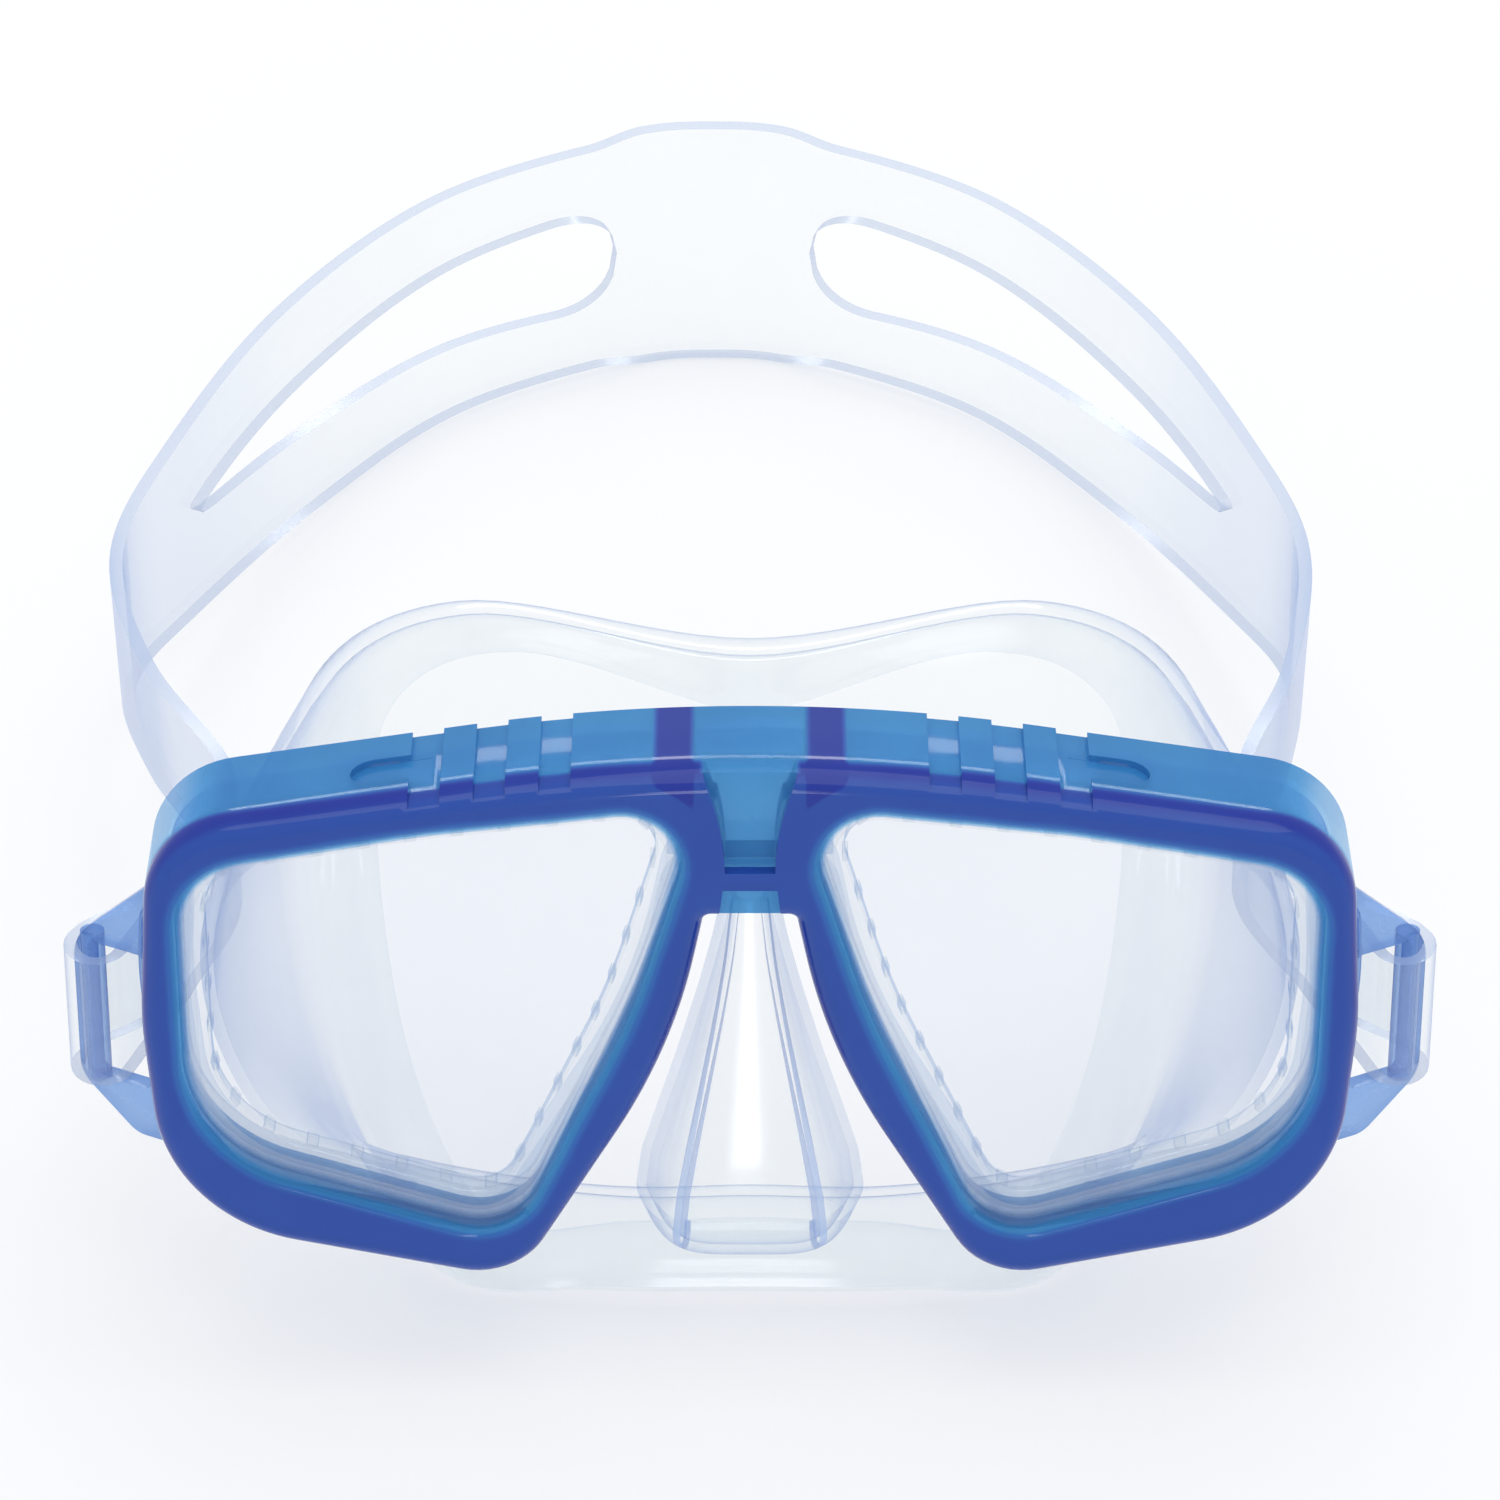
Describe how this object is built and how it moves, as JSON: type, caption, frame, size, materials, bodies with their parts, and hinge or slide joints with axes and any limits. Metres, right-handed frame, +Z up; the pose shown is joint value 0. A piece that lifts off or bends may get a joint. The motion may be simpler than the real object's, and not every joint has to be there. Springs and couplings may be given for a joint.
{
  "type": "diving mask",
  "caption": "Two-lens diving mask with a snapped blue frame, clear skirt with nose pocket and a split head strap that swings at the side lugs.",
  "frame": {"origin": "middle of the resting box, on the surface that the mask stands on", "axes": "+Z up, +X to the right as the lenses are looked at, -Y the way the lenses face, +Y towards the back of the strap"},
  "size_m": [0.1918, 0.2191, 0.0979],
  "materials": {
    "frame_blue": "glossy translucent",
    "frame_pale": "glossy translucent",
    "lens_clear": "polished",
    "ring_clear": "glossy clear",
    "skirt_clear": "satin clear",
    "strap_clear": "satin clear"
  },
  "bodies": {
    "mask": {"front_frame": "frame_blue", "rear_frame": "frame_pale", "lens_left": "lens_clear", "lens_right": "lens_clear", "lens_ring_left": "ring_clear", "lens_ring_right": "ring_clear", "skirt": "skirt_clear", "strap_end_left": "strap_clear", "strap_end_right": "strap_clear"},
    "strap": {"strap_rear": "strap_clear"}
  },
  "joints": [
    {"name": "strap_swing", "type": "hinge", "parent": "mask", "child": "strap", "pos_m": [0, -0.07847, 0.04371], "axis": [1, 0, 0], "range_deg": [-30, 35]}
  ]
}
